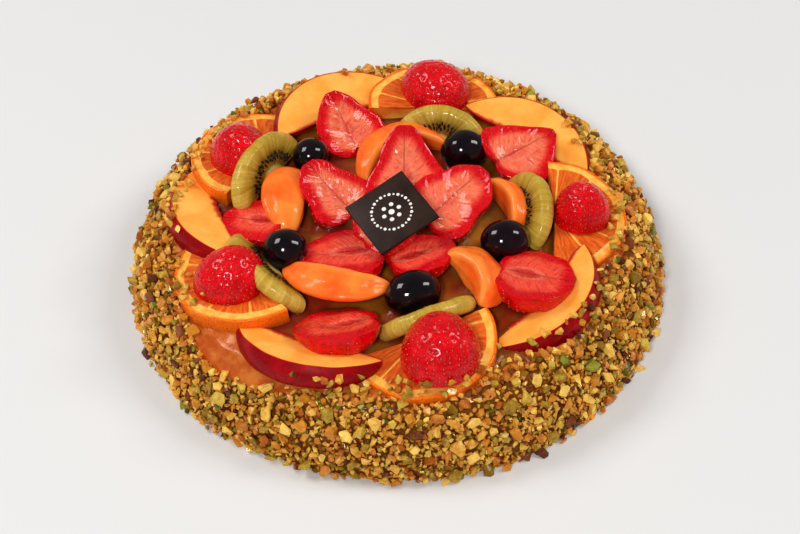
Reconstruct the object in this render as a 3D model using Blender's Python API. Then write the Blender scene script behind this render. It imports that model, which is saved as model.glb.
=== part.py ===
"""Fruit tart: a low round cake, its side coated with chopped nuts, its top laid with glazed fruit.

Metres, +Z up. The origin is the middle of the flat underside and -Y is the front. Shapes are worked
out in millimetres and turned into metres where a mesh is made.
"""

import math
from collections import namedtuple

import bmesh
import bpy
from mathutils import Vector, noise
from mathutils.bvhtree import BVHTree

MM = 0.001
GAP = 0.3  # air left between pieces that touch
SWELL = 1.6 * GAP  # how far a cutter is fattened, more than the gap to hold it on rounded corners
WELD = 0.02  # points nearer than this become one after the cuts
SLIVER = 0.01  # edges shorter than this are dropped after the cuts
ROUND_STEPS = 56  # facets round the cake

# The cake and its coat
TART_RADIUS = 133.0  # over the nuts, at the table
RIM_RADIUS = 112.0  # where the rounded side meets the fruit
SIDE_HEIGHT = 39.0
SIDE_ROUNDNESS = 1.7
COAT_DEPTH = 5.0
COAT_TOP = 36.5
COAT_BUMP = 1.1
LIP_RADIUS = 108.0  # how far in the nuts reach over the cream
BARE_ANGLE = math.radians(228.0)  # the stretch of side where the nuts stop lower
BARE_HALF_SWEEP = math.radians(30.0)
BARE_DROP = 7.0
SIDE_LEVELS = (0.0, 13.0, 24.0, 31.0)  # heights of the cake's side rings
SHOULDER_RADIUS = 113.0  # the edge of the cake's top
CREAM_RIM = 33.6
CREAM_CROWN = 3.6

# The fruit
ORANGE_RADIUS = 35.0
ORANGE_DEPTH = 9.0
KIWI_REACH = 20.0
KIWI_DEPTH = 8.5
PEACH_ARC_RADIUS = 42.0
PEACH_DEPTH = 15.0
BERRY_HALF_DEPTH = 0.42  # of the width

# The chocolate tag
TAG_SIDE = 33.0
TAG_DEPTH = 1.8

# Where a piece lies: its middle in mm, then the way that its outer side points, how far that side
# dips, and how far its anticlockwise end is raised, in degrees.
Place = namedtuple("Place", "x y z turn dip raised")

ORANGE_PLACES = [
    Place(-71, -38, 39, 213, 3, 5),
    Place(77, -3, 40, 0, 2, 5),
    Place(20, 74, 40, 92, 2, 5),
    Place(-68, 40, 39, 150, 3, 5),
    Place(12, -79, 38, 295, 4, 4),
]
# Peach slices: place, then half the length and the width of the cut face.
PEACH_PLACES = [
    (Place(-33, 84, 45, 120, -10, 6), 40, 28),
    (Place(73, 62, 44, 51, -14, 6), 38, 23),
    (Place(-97, -2, 44, 200, -12, 6), 36, 23),
    (Place(-45, -91, 45, 245, -20, 5), 37, 21),
    (Place(77, -61, 44, 320, -14, 6), 38, 20),
]
# Each kiwi slice leans back on the fruit behind it: its place, then half its length.
KIWI_PLACES = [
    (Place(-64, 25, 42, 152, -62, 0), 28),
    (Place(-60, -38, 40, 215, -45, 0), 29),
    (Place(14, -66, 39, 290, -55, 4), 25),
    (Place(62, 1, 40, 12, -55, 0), 24),
    (Place(22, 52, 40, 80, -58, 0), 24),
]
# Apricot slices: place, then half length, half width, half depth and the radius they bend round.
APRICOT_PLACES = [
    (Place(-54, 6, 47, 178, -30, 0), 23, 13, 7.5, 52),
    (Place(-30, -50, 46, 254, -12, 2), 28, 10.5, 7, 52),
    (Place(-1, 50, 46, 117, -20, 0), 34, 8.5, 7, 26),
    (Place(58, 6, 45, 22, -5, 4), 20, 8, 7, 21),
    (Place(41, -43, 46, 30, 5, 8), 21, 10.5, 8, 17),
]
# Dark grapes: the middle, then half the length and half the width.
GRAPE_PLACES = [
    (Place(-43, 38, 45, 60, 0, 0), 9.5, 9),
    (Place(-53, -29, 47, 0, 0, 0), 11, 10.5),
    (Place(8, -55, 45, 20, 0, 0), 14, 11),
    (Place(34, 41, 46, 20, 0, 0), 12, 10.5),
    (Place(52, -22, 46, 10, 0, 0), 12, 10.5),
]
# Whole strawberries stand on the orange slices: place of the cut base, then radius and height.
STRAWBERRY_PLACES = [
    (Place(-78, -46, 43, 0, 0, 0), 17, 19),
    (Place(90, -3, 44, 0, 0, 0), 13.5, 20),
    (Place(20, 86, 44, 0, 0, 0), 18, 18),
    (Place(-78, 38, 43, 0, 0, 0), 16, 21),
    (Place(20, -91, 43, 0, 0, 0), 19.5, 21),
]
# Strawberry halves, cut face up, tip outwards: place of the cut face's middle, then length and width.
HALF_PLACES = [
    (Place(-26, 57, 50, 122, -35, 0), 36, 34),
    (Place(-32, 9, 51, 138, -25, 0), 36, 33),
    (Place(4, 22, 53, 90, -30, 0), 44, 42),
    (Place(28, 1, 54, 38, -20, 5), 41, 37),
    (Place(64, 39, 50, 32, -5, 20), 38, 36),
    (Place(-27, -31, 48, 190, 0, 14), 42, 37),
    (Place(12, -31, 48, 25, 0, -14), 35, 32),
    (Place(-28, -76, 47, 190, 0, 27), 41, 34),
    (Place(66, -47, 49, 345, 0, -12), 38, 38),
    (Place(-70, -7, 46, 165, 10, 0), 32, 29),
    (Place(-4, -15, 55.3, 33, -27, -5), 36, 34),
]
# Outlines of the halves: half widths on the anticlockwise and the clockwise side, as shares of
# half the width, at even steps from the hull to the tip.
ROUND_SIDE = (0.75, 1.0, 1.02, 0.92, 0.7, 0.3)
BLUNT_SIDE = (0.7, 0.95, 1.05, 1.02, 0.85, 0.4)
HALF_OUTLINES = {
    1: ((0.6, 0.85, 0.92, 0.82, 0.62, 0.3), (0.7, 1.12, 1.1, 0.8, 0.55, 0.3)),
    2: ((0.9, 1.0, 0.95, 0.85, 0.72, 0.42), (0.9, 1.15, 1.02, 0.72, 0.6, 0.4)),
    3: ((0.8, 0.92, 0.82, 0.6, 0.46, 0.3), (0.9, 1.05, 1.0, 0.72, 0.48, 0.3)),
    4: ((0.85, 1.1, 1.04, 0.8, 0.62, 0.32), (0.9, 1.05, 1.0, 0.9, 0.74, 0.4)),
    5: ((1.0, 1.02, 0.88, 0.66, 0.42, 0.18), (0.5, 0.92, 1.1, 0.98, 0.6, 0.2)),
    8: (BLUNT_SIDE, BLUNT_SIDE),
    9: (BLUNT_SIDE, BLUNT_SIDE),
}
TAG_PLACE = Place(-2, -16, 58.5, 31, -16, 6)

# Which piece was laid over which: an earlier kind keeps its shape, a later one gives way.
PEACH_AND_ORANGE_ORDER = [
    "peach_slice_5",
    "orange_slice_2",
    "peach_slice_2",
    "orange_slice_3",
    "peach_slice_1",
    "orange_slice_4",
    "peach_slice_3",
    "orange_slice_1",
    "peach_slice_4",
    "orange_slice_5",
]


def clear_scene():
    for obj in list(bpy.data.objects):
        bpy.data.objects.remove(obj, do_unlink=True)


def finish_material(name, colour, roughness):
    material = bpy.data.materials.new(name)
    material.use_nodes = True
    shader = material.node_tree.nodes["Principled BSDF"]
    shader.inputs["Base Color"].default_value = (*colour, 1.0)
    shader.inputs["Roughness"].default_value = roughness
    shader.inputs["Metallic"].default_value = 0.0
    return material


def loft(name, rings, material, round_again=False):
    """A closed solid through rings of points in mm, capped at both ends or joined end to end."""
    bm = bmesh.new()
    rows = [[bm.verts.new(Vector(point) * MM) for point in ring] for ring in rings]
    pairs = list(zip(rows, rows[1:]))
    if round_again:
        pairs.append((rows[-1], rows[0]))
    for below, above in pairs:
        count = len(below)
        for i in range(count):
            j = (i + 1) % count
            bm.faces.new((below[i], below[j], above[j], above[i]))
    if not round_again:
        bm.faces.new(list(reversed(rows[0])))
        bm.faces.new(rows[-1])
    bmesh.ops.recalc_face_normals(bm, faces=bm.faces)
    mesh = bpy.data.meshes.new(name)
    bm.to_mesh(mesh)
    bm.free()
    mesh.shade_smooth()
    mesh.set_sharp_from_angle(angle=math.radians(40))
    mesh.materials.append(material)
    obj = bpy.data.objects.new(name, mesh)
    bpy.context.scene.collection.objects.link(obj)
    return obj


def put(obj, place):
    """Lays a piece whose outer side is +X, anticlockwise end +Y and upper side +Z at its place."""
    obj.location = Vector((place.x, place.y, place.z)) * MM
    angles = (place.raised, place.dip, place.turn)
    obj.rotation_euler = [math.radians(angle) for angle in angles]
    return obj


def plan_wave(angle):
    """How far the hand-finished side strays from round, in mm."""
    first = -1.1 * math.cos(angle - 2.6)
    second = 0.8 * math.cos(2 * (angle - 0.74))
    third = 0.5 * math.cos(3 * angle + 2.57)
    fifth = 0.55 * math.cos(5 * angle - 0.19)
    return first + second + third + fifth


def side_radius(height):
    """The rounded side over the nuts, from the table up to the fruit."""
    k = min(1.0, height / SIDE_HEIGHT)
    reach = (1 - k**SIDE_ROUNDNESS) ** (1 / SIDE_ROUNDNESS)
    return RIM_RADIUS + (TART_RADIUS - RIM_RADIUS) * reach


def cream_height(radius):
    """The gently crowned top under the fruit."""
    return CREAM_RIM + CREAM_CROWN * (1 - (radius / RIM_RADIUS) ** 2)


def ring_of(radius, height, steps):
    ring = []
    for i in range(steps):
        angle = math.tau * i / steps
        reach = radius + plan_wave(angle) * min(1.0, radius / SHOULDER_RADIUS)
        ring.append((reach * math.cos(angle), reach * math.sin(angle), height))
    return ring


def make_cake(material, steps=ROUND_STEPS):
    rings = []
    for height in SIDE_LEVELS:
        rings.append(ring_of(side_radius(height) - COAT_DEPTH, height, steps))
    for radius in (SHOULDER_RADIUS, 72.0, 30.0):
        rings.append(ring_of(radius, cream_height(radius), steps))
    return loft("cake", rings, material)


def bare_patch(angle):
    """1 where the coat stops short of the fruit, at the front left, fading to 0 round it."""
    away = abs((angle - BARE_ANGLE + math.pi) % math.tau - math.pi) / BARE_HALF_SWEEP
    return 0.5 + 0.5 * math.cos(math.pi * min(1.0, away))


def make_nut_coat(material, steps=ROUND_STEPS):
    """A ring round the cake's side, bumpy outside, with a lip that laps onto the cream."""

    def inner_side(height):
        return Vector((side_radius(height) - COAT_DEPTH + 2 * GAP, height))

    top_lip = Vector((LIP_RADIUS, cream_height(LIP_RADIUS) + 4 * GAP))
    shoulder = Vector((SHOULDER_RADIUS + 2 * GAP, cream_height(SHOULDER_RADIUS) + 3 * GAP))
    sections = []
    for i in range(steps):
        angle = math.tau * i / steps
        wave = plan_wave(angle)
        bare = bare_patch(angle)
        across = Vector((math.cos(angle), math.sin(angle), 0.0))
        crest = COAT_TOP - BARE_DROP * bare + COAT_BUMP * noise.noise(across * 9.0)
        section = []
        for share in (0.0, 0.22, 0.45, 0.68, 0.86):
            height = share * crest
            reach = side_radius(height)
            spot = across * reach + Vector((0.0, 0.0, height))
            reach += COAT_BUMP * (noise.noise(spot * 0.21) + noise.noise(spot * 0.09))
            section.append(Vector((reach, height)))
        section.append(Vector((side_radius(crest) - 1.5, crest)))
        section.append(top_lip.lerp(inner_side(crest - 1.0), bare))
        section.append(shoulder.lerp(inner_side(crest - 3.0), bare))
        lower = 1 - 0.2 * bare
        section += [inner_side(height * lower) for height in reversed(SIDE_LEVELS)]
        sections.append([((r + wave) * across.x, (r + wave) * across.y, height) for r, height in section])
    return loft("nut_coat", sections, material, round_again=True)


def half_slice(reach, half_length, depth, edge, past=0.0, steps=13):
    """Rings of a half round that bulges to +X, with softened rims; past moves the cut beyond the middle."""
    start = math.acos(-past / reach)
    rings = []
    for inset, height in ((edge, 0.0), (0.0, edge), (0.0, depth - edge), (edge, depth)):
        ring = []
        for i in range(steps):
            angle = start * (2 * i / (steps - 1) - 1)
            x = max((reach - inset) * math.cos(angle), -past + inset)
            ring.append((x, (half_length - inset) * math.sin(angle), height - depth / 2))
        rings.append(ring)
    return rings


def crescent(half_length, arc_radius, width, depth, steps=10):
    """Rings along a stone fruit's slice: flat cut face on top, rounded skin to +X, stone's hollow to -X."""
    sweep = math.asin(half_length / arc_radius)
    rings = []
    for i in range(steps):
        t = 2 * i / (steps - 1) - 1
        angle = sweep * t
        body = max(0.0, 1 - abs(t) ** 2.6)
        across = 2.5 + (width - 2.5) * body**0.6
        down = 3.0 + (depth - 3.0) * body**0.5
        section = [
            (arc_radius, 0.0),
            (arc_radius + 0.13 * down, -0.35 * down),
            (arc_radius + 0.05 * down, -0.75 * down),
            (arc_radius - 0.3 * across, -down),
            (arc_radius - 0.85 * across, -0.6 * down),
            (arc_radius - across, 0.0),
        ]
        ring = []
        for radius, height in section:
            x = radius * math.cos(angle) - arc_radius + width / 2
            ring.append((x, radius * math.sin(angle), height))
        rings.append(ring)
    return rings


def bent_spindle(half_length, half_width, half_depth, arc_radius, steps=8, around=8):
    """Rings along a plump slice with blunt ends that bends round an arc, outer side to +X."""
    rings = []
    for i in range(steps):
        t = 0.97 * (2 * i / (steps - 1) - 1)
        angle = half_length / arc_radius * t
        girth = (1 - abs(t) ** 2.2) ** 0.66
        ring = []
        for j in range(around):
            turn = math.tau * j / around
            radius = arc_radius + half_width * girth * math.cos(turn)
            x = radius * math.cos(angle) - arc_radius
            ring.append((x, radius * math.sin(angle), half_depth * girth * math.sin(turn)))
        rings.append(ring)
    return rings


def ball(half_length, half_width, steps=6, around=9):
    """Rings of a grape along its length on X."""
    rings = []
    for i in range(steps):
        turn = math.pi * (0.06 + 0.88 * i / (steps - 1))
        x = -half_length * math.cos(turn)
        girth = half_width * math.sin(turn)
        ring = []
        for j in range(around):
            angle = math.tau * j / around
            ring.append((x, girth * math.cos(angle), girth * math.sin(angle)))
        rings.append(ring)
    return rings


def standing_berry(radius, height, steps=6, around=11):
    """Rings of a whole strawberry with its hull cut off, standing tip up."""
    rings = []
    for i in range(steps):
        k = 0.97 * i / (steps - 1)
        girth = radius * (1 - k**2.1) ** 0.62
        ring = []
        for j in range(around):
            angle = math.tau * j / around
            ring.append((girth * math.cos(angle), girth * math.sin(angle), height * k))
        rings.append(ring)
    return rings


def half_berry(length, width, outlines, around=7):
    """Rings along a strawberry half: flat cut face up, skin below, tip to +X."""
    rings = []
    for i, girths in enumerate(zip(*outlines)):
        k = 0.98 * i / (len(outlines[0]) - 1)
        depth = BERRY_HALF_DEPTH * width * sum(girths) / 2
        ring = []
        for j in range(around):
            angle = math.pi * j / (around - 1)
            girth = girths[0] if j < around / 2 else girths[1]
            ring.append((length * (k - 0.5), width / 2 * girth * math.cos(angle), -depth * math.sin(angle)))
        rings.append(ring)
    return rings


def make_tag(material):
    half = TAG_SIDE / 2
    rings = []
    for inset, height in ((0.3, 0.0), (0.0, 0.3), (0.0, TAG_DEPTH - 0.3), (0.3, TAG_DEPTH)):
        side = half - inset
        corners = [(-side, -side), (side, -side), (side, side), (-side, side)]
        rings.append([(x, y, height) for x, y in corners])
    tag = loft("chocolate_tag", rings, material)
    return put(tag, TAG_PLACE)


def make_fruit():
    """Every piece of fruit, by name."""
    orange = finish_material("orange_flesh", (0.82, 0.27, 0.03), 0.3)
    peach = finish_material("peach_flesh", (0.86, 0.42, 0.06), 0.3)
    kiwi = finish_material("kiwi_flesh", (0.36, 0.36, 0.04), 0.3)
    apricot = finish_material("apricot_flesh", (0.85, 0.25, 0.04), 0.25)
    grape = finish_material("grape_skin", (0.01, 0.006, 0.012), 0.1)
    berry = finish_material("strawberry_skin", (0.55, 0.01, 0.02), 0.25)
    berry_cut = finish_material("strawberry_flesh", (0.75, 0.12, 0.1), 0.3)

    fruit = {}

    def lay(kind, number, rings, material, place):
        name = f"{kind}_{number}"
        fruit[name] = put(loft(name, rings, material), place)

    for number, place in enumerate(ORANGE_PLACES, 1):
        rings = half_slice(ORANGE_RADIUS, ORANGE_RADIUS, ORANGE_DEPTH, 1.2, past=2.0)
        lay("orange_slice", number, rings, orange, place)
    for number, (place, half_length, width) in enumerate(PEACH_PLACES, 1):
        rings = crescent(half_length, PEACH_ARC_RADIUS, width, PEACH_DEPTH)
        lay("peach_slice", number, rings, peach, place)
    for number, (place, half_length) in enumerate(KIWI_PLACES, 1):
        lay("kiwi_slice", number, half_slice(KIWI_REACH, half_length, KIWI_DEPTH, 2.6), kiwi, place)
    for number, (place, *sizes) in enumerate(APRICOT_PLACES, 1):
        lay("apricot_slice", number, bent_spindle(*sizes), apricot, place)
    for number, (place, half_length, half_width) in enumerate(GRAPE_PLACES, 1):
        lay("grape", number, ball(half_length, half_width), grape, place)
    for number, (place, radius, height) in enumerate(STRAWBERRY_PLACES, 1):
        lay("strawberry", number, standing_berry(radius, height), berry, place)
    for number, (place, length, width) in enumerate(HALF_PLACES, 1):
        rings = half_berry(length, width, HALF_OUTLINES.get(number, (ROUND_SIDE, ROUND_SIDE)))
        lay("strawberry_half", number, rings, berry_cut, place)
    return fruit


def laying_order(tag, fruit):
    """The pieces from the one laid last to the one laid first."""
    names = ["strawberry_half_11", "strawberry_half_3", "strawberry_half_4", "strawberry_half_2"]
    names += ["strawberry_half_6", "strawberry_half_7"]
    for kind in ("apricot_slice", "grape", "strawberry", "strawberry_half", "kiwi_slice"):
        names += [name for name in fruit if name.rsplit("_", 1)[0] == kind and name not in names]
    names += PEACH_AND_ORANGE_ORDER
    return [tag] + [fruit[name] for name in names]


def swollen(piece):
    """A hidden copy, fatter by the gap, that cuts the pieces under it."""
    cutter = piece.copy()
    cutter.name = "cutter_" + piece.name
    swell = cutter.modifiers.new("swell", "DISPLACE")
    swell.mid_level = 0.0
    swell.strength = SWELL * MM
    cutter.hide_render = True
    cutter.display_type = "WIRE"
    bpy.context.scene.collection.objects.link(cutter)
    return cutter


def world_tree(obj, graph):
    """The object's evaluated faces in world space, for telling whether two pieces meet."""
    evaluated = obj.evaluated_get(graph)
    mesh = evaluated.to_mesh()
    points = [obj.matrix_world @ vertex.co for vertex in mesh.vertices]
    tree = BVHTree.FromPolygons(points, [face.vertices for face in mesh.polygons])
    evaluated.to_mesh_clear()
    return tree


def clear_of(piece, cutters):
    """Cuts a piece back from the swollen pieces that it runs into."""
    graph = bpy.context.evaluated_depsgraph_get()
    own_tree = world_tree(piece, graph)
    for cutter in cutters:
        if own_tree.overlap(world_tree(cutter, graph)):
            cut = piece.modifiers.new("clear_of_" + cutter.name, "BOOLEAN")
            cut.operation = "DIFFERENCE"
            cut.solver = "EXACT"
            cut.object = cutter


def keep_largest_body(piece):
    """Makes the cuts final and drops the crumbs that they left."""
    graph = bpy.context.evaluated_depsgraph_get()
    mesh = bpy.data.meshes.new_from_object(piece.evaluated_get(graph))
    bm = bmesh.new()
    bm.from_mesh(mesh)
    bmesh.ops.remove_doubles(bm, verts=bm.verts, dist=WELD * MM)
    bmesh.ops.dissolve_degenerate(bm, edges=bm.edges, dist=SLIVER * MM)
    bmesh.ops.triangulate(bm, faces=bm.faces)
    bodies = []
    unseen = set(bm.verts)
    while unseen:
        body = {unseen.pop()}
        edge_of_body = list(body)
        while edge_of_body:
            vertex = edge_of_body.pop()
            for edge in vertex.link_edges:
                other = edge.other_vert(vertex)
                if other not in body:
                    body.add(other)
                    edge_of_body.append(other)
        unseen -= body
        bodies.append(body)
    bodies.sort(key=lambda body: body_size(body))
    for body in bodies[:-1]:
        bmesh.ops.delete(bm, geom=list(body), context="VERTS")
    bm.to_mesh(mesh)
    bm.free()
    piece.modifiers.clear()
    piece.data = mesh


def body_size(body):
    """The diagonal of the box round a set of vertices."""
    low = [min(vertex.co[axis] for vertex in body) for axis in range(3)]
    high = [max(vertex.co[axis] for vertex in body) for axis in range(3)]
    return (Vector(high) - Vector(low)).length


def main():
    clear_scene()
    sponge = finish_material("sponge_and_glaze", (0.75, 0.42, 0.22), 0.35)
    nuts = finish_material("chopped_nuts", (0.42, 0.25, 0.06), 0.8)
    chocolate = finish_material("dark_chocolate", (0.035, 0.02, 0.015), 0.35)

    cake = make_cake(sponge)
    coat = make_nut_coat(nuts)
    tag = make_tag(chocolate)
    fruit = make_fruit()
    bpy.context.view_layer.update()

    cutters = [swollen(cake)]
    pieces = laying_order(tag, fruit) + [coat]
    for piece in pieces:
        cutters.append(swollen(piece))
    bpy.context.view_layer.update()
    for index, piece in enumerate(pieces):
        clear_of(piece, cutters[: index + 1])
    bpy.context.view_layer.update()
    for piece in pieces:
        keep_largest_body(piece)


main()
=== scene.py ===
"""The looks of the fruit tart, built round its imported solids.

Each piece is shaped in millimetres in its own frame, outer side +X, anticlockwise end +Y and upper
side +Z, then laid at the place where its solid lies. The origin is the middle of the flat underside
and -Y is the front.
"""

import math
from collections import namedtuple

import bmesh
import bpy
import numpy as np
from mathutils import Euler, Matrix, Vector, noise
from mathutils.bvhtree import BVHTree


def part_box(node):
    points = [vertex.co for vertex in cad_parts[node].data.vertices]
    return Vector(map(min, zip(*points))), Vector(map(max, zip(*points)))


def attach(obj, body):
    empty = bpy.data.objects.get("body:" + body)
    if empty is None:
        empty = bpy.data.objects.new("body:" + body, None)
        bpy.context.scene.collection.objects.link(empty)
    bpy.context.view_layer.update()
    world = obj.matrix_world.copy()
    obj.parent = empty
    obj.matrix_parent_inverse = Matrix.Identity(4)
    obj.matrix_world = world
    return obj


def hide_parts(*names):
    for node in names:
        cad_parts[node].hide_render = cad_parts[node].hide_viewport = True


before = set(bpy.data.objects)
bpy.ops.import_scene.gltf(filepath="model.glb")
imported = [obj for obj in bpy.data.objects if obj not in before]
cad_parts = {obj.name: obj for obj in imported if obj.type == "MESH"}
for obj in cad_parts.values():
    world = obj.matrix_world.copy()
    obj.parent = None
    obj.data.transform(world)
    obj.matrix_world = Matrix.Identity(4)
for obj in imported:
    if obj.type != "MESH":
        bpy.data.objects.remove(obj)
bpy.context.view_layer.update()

# Sizes are in mm and angles in radians, but for the places below
MM = 0.001
RANDOM_SEED = 26
STRAY_LIMIT = 24.0  # how far a piece may reach past its solid's box, in mm

# The cake and its coat
TART_RADIUS = 133.0
RIM_RADIUS = 112.0
SIDE_HEIGHT = 39.0
SIDE_ROUNDNESS = 1.7
COAT_DEPTH = 5.0
BARE_ANGLE = math.radians(228.0)
BARE_HALF_SWEEP = math.radians(30.0)
SHOULDER_RADIUS = 113.0
CREAM_RIM = 33.6
CREAM_CROWN = 3.6

# The crumb core under the nuts
CORE_TOP = 34.6
CORE_DROP = 7.5  # how much lower it ends where the side is bare
CORE_INSET = 3.0

# The fruit
ORANGE_RADIUS = 35.0
ORANGE_DEPTH = 9.0
ORANGE_PAST = 2.0  # how far the slice goes past the half circle
ORANGE_RIND = 4.4
ORANGE_SEGMENT = math.radians(36)
KIWI_REACH = 20.0
KIWI_DEPTH = 8.5
KIWI_ROUNDING = 3.4
KIWI_SEED_SIZE = (2.1, 1.1, 0.55)
PEACH_ARC_RADIUS = 42.0
PEACH_DEPTH = 15.0
APRICOT_EDGE = 1.9  # the turn at which the two cut faces meet, in radians
BERRY_HALF_DEPTH = 0.84  # as a share of half the width
BERRY_SEED_GAP = 3.7
BERRY_SEED_SIZE = (1.05, 0.65, 0.35)
BERRY_SEED_SINK = 0.35

# The chocolate tag
TAG_SIDE = 33.0
TAG_DEPTH = 1.8
TAG_SOFTNESS = 0.35
OUTER_RING_RADIUS = 9.8
OUTER_RING_DOTS = 28
INNER_RING_RADIUS = 4.2
INNER_RING_DOTS = 6

# The nuts, from small bits deep in the coat to large ones on top
SMALL_NUTS = {"tries": 60000, "gap": 0.52, "sizes": (2.8, 4.8), "inset": (0.5, 0.75)}
LARGE_NUTS = {"tries": 60000, "gap": 0.7, "sizes": (4.0, 10.8), "inset": (-0.1, 0.32)}
RIM_TRIES = 3600
RIM_NUT_SIZES = (3.4, 8.0)
RIM_NUT_GAP = 0.48

SQUARE = ((-1, -1), (1, -1), (1, 1), (-1, 1))

# The studio, with its distances in metres
FLOOR_REACH = 6.0
FLOOR_DROP = 0.0002
LIGHT_DISTANCE = 2.2
ROOM_LIGHT = 0.24
CAMERA_LENS = 88.9  # in mm
CAMERA_DISTANCE = 1.0
CAMERA_ELEVATION = math.radians(47.0)

# Where a piece lies, in mm, and its turn about +Z, dip about its +Y and rise about its +X, in degrees
Place = namedtuple("Place", "x y z turn dip raised")

ORANGE_PLACES = [
    Place(-71, -38, 39, 213, 3, 5),
    Place(77, -3, 40, 0, 2, 5),
    Place(20, 74, 40, 92, 2, 5),
    Place(-68, 40, 39, 150, 3, 5),
    Place(12, -79, 38, 295, 4, 4),
]
PEACH_PLACES = [
    (Place(-33, 84, 45, 120, -10, 6), 40, 28),
    (Place(73, 62, 44, 51, -14, 6), 38, 23),
    (Place(-97, -2, 44, 200, -12, 6), 36, 23),
    (Place(-45, -91, 45, 245, -20, 5), 37, 21),
    (Place(77, -61, 44, 320, -14, 6), 38, 20),
]
KIWI_PLACES = [
    (Place(-64, 25, 42, 152, -62, 0), 28),
    (Place(-60, -38, 40, 215, -45, 0), 29),
    (Place(14, -66, 39, 290, -55, 4), 25),
    (Place(62, 1, 40, 12, -55, 0), 24),
    (Place(22, 52, 40, 80, -58, 0), 24),
]
APRICOT_PLACES = [
    (Place(-54, 6, 47, 178, -30, 0), 23, 13, 7.5, 52),
    (Place(-30, -50, 46, 254, -12, 2), 28, 10.5, 7, 52),
    (Place(-1, 50, 46, 117, -20, 0), 34, 8.5, 7, 26),
    (Place(58, 6, 45, 22, -5, 4), 20, 8, 7, 21),
    (Place(41, -43, 46, 30, 5, 8), 21, 10.5, 8, 17),
]
GRAPE_PLACES = [
    (Place(-43, 38, 45, 60, 0, 0), 9.5, 9),
    (Place(-53, -29, 47, 0, 0, 0), 11, 10.5),
    (Place(8, -55, 45, 20, 0, 0), 14, 11),
    (Place(34, 41, 46, 20, 0, 0), 12, 10.5),
    (Place(52, -22, 46, 10, 0, 0), 12, 10.5),
]
STRAWBERRY_PLACES = [
    (Place(-78, -46, 43, 0, 0, 0), 17, 19),
    (Place(90, -3, 44, 0, 0, 0), 13.5, 20),
    (Place(20, 86, 44, 0, 0, 0), 18, 18),
    (Place(-78, 38, 43, 0, 0, 0), 16, 21),
    (Place(20, -91, 43, 0, 0, 0), 19.5, 21),
]
# Strawberry halves: place of the cut face's middle, length, width, and whether the core is red.
HALF_PLACES = [
    (Place(-26, 57, 50, 122, -35, 0), 36, 34, False),
    (Place(-32, 9, 51, 138, -25, 0), 36, 33, False),
    (Place(4, 22, 53, 90, -30, 0), 44, 42, False),
    (Place(28, 1, 54, 38, -20, 5), 41, 37, False),
    (Place(64, 39, 50, 32, -5, 20), 38, 36, False),
    (Place(-27, -31, 48, 190, 0, 14), 42, 37, True),
    (Place(12, -31, 48, 25, 0, -14), 35, 32, True),
    (Place(-28, -76, 47, 190, 0, 27), 41, 34, True),
    (Place(66, -47, 49, 345, 0, -12), 38, 38, True),
    (Place(-70, -7, 46, 165, 10, 0), 32, 29, True),
    (Place(-4, -15, 55.3, 33, -27, -5), 36, 34, False),
]
# Outlines of the halves: half widths on the anticlockwise and the clockwise side, as shares of
# half the width, at even steps from the hull to the tip.
ROUND_SIDE = (0.75, 1.0, 1.02, 0.92, 0.7, 0.3)
BLUNT_SIDE = (0.7, 0.95, 1.05, 1.02, 0.85, 0.4)
HALF_OUTLINES = {
    1: ((0.6, 0.85, 0.92, 0.82, 0.62, 0.3), (0.7, 1.12, 1.1, 0.8, 0.55, 0.3)),
    2: ((0.9, 1.0, 0.95, 0.85, 0.72, 0.42), (0.9, 1.15, 1.02, 0.72, 0.6, 0.4)),
    3: ((0.8, 0.92, 0.82, 0.6, 0.46, 0.3), (0.9, 1.05, 1.0, 0.72, 0.48, 0.3)),
    4: ((0.85, 1.1, 1.04, 0.8, 0.62, 0.32), (0.9, 1.05, 1.0, 0.9, 0.74, 0.4)),
    5: ((1.0, 1.02, 0.88, 0.66, 0.42, 0.18), (0.5, 0.92, 1.1, 0.98, 0.6, 0.2)),
    8: (BLUNT_SIDE, BLUNT_SIDE),
    9: (BLUNT_SIDE, BLUNT_SIDE),
}
TAG_PLACE = Place(-2, -16, 58.5, 31, -16, 6)


# ---------------------------------------------------------------- shapes


class Shape:
    """Points in mm, the faces over them, each face's finish, and masks from 0 to 1 at the points."""

    def __init__(self, points, faces, slots, masks=None):
        self.points = np.asarray(points, float)
        self.faces = list(faces)
        self.slots = list(slots)
        self.masks = dict(masks or {})

    def add(self, other, slot=None):
        """Takes in another shape, which keeps its finishes unless one slot is given."""
        first = len(self.points)
        for name in set(self.masks) | set(other.masks):
            own = self.masks.get(name, np.zeros(first))
            new = other.masks.get(name, np.zeros(len(other.points)))
            self.masks[name] = np.concatenate([own, new])
        self.points = np.concatenate([self.points, other.points])
        self.faces += [tuple(first + i for i in face) for face in other.faces]
        self.slots += other.slots if slot is None else [slot] * len(other.faces)
        return self


def tube(rings, column_slots=None, cap_slot=0, masks=None):
    """A closed skin over rings of points, an array of rows, columns and x, y, z, with capped ends."""
    rows, columns, _ = rings.shape
    if column_slots is None:
        column_slots = [0] * columns
    faces = []
    slots = []
    for i in range(rows - 1):
        low = i * columns
        for j in range(columns):
            k = (j + 1) % columns
            faces.append((low + j, low + k, low + columns + k, low + columns + j))
            slots.append(column_slots[j])
    points = rings.reshape(-1, 3)
    ends = [rings[0].mean(0), rings[-1].mean(0)]
    for j in range(columns):
        k = (j + 1) % columns
        last = (rows - 1) * columns
        faces.append((k, j, len(points)))
        faces.append((last + j, last + k, len(points) + 1))
        slots += [cap_slot, cap_slot]
    flat = {}
    for name, mask in (masks or {}).items():
        flat[name] = np.concatenate([mask.reshape(-1), [mask[0].mean(), mask[-1].mean()]])
    shape = Shape(np.concatenate([points, ends]), faces, slots, flat)
    corners = shape.points[[face[:3] for face in faces]]
    if np.linalg.det(corners).sum() < 0:
        shape.faces = [tuple(reversed(face)) for face in faces]
    return shape


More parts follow.
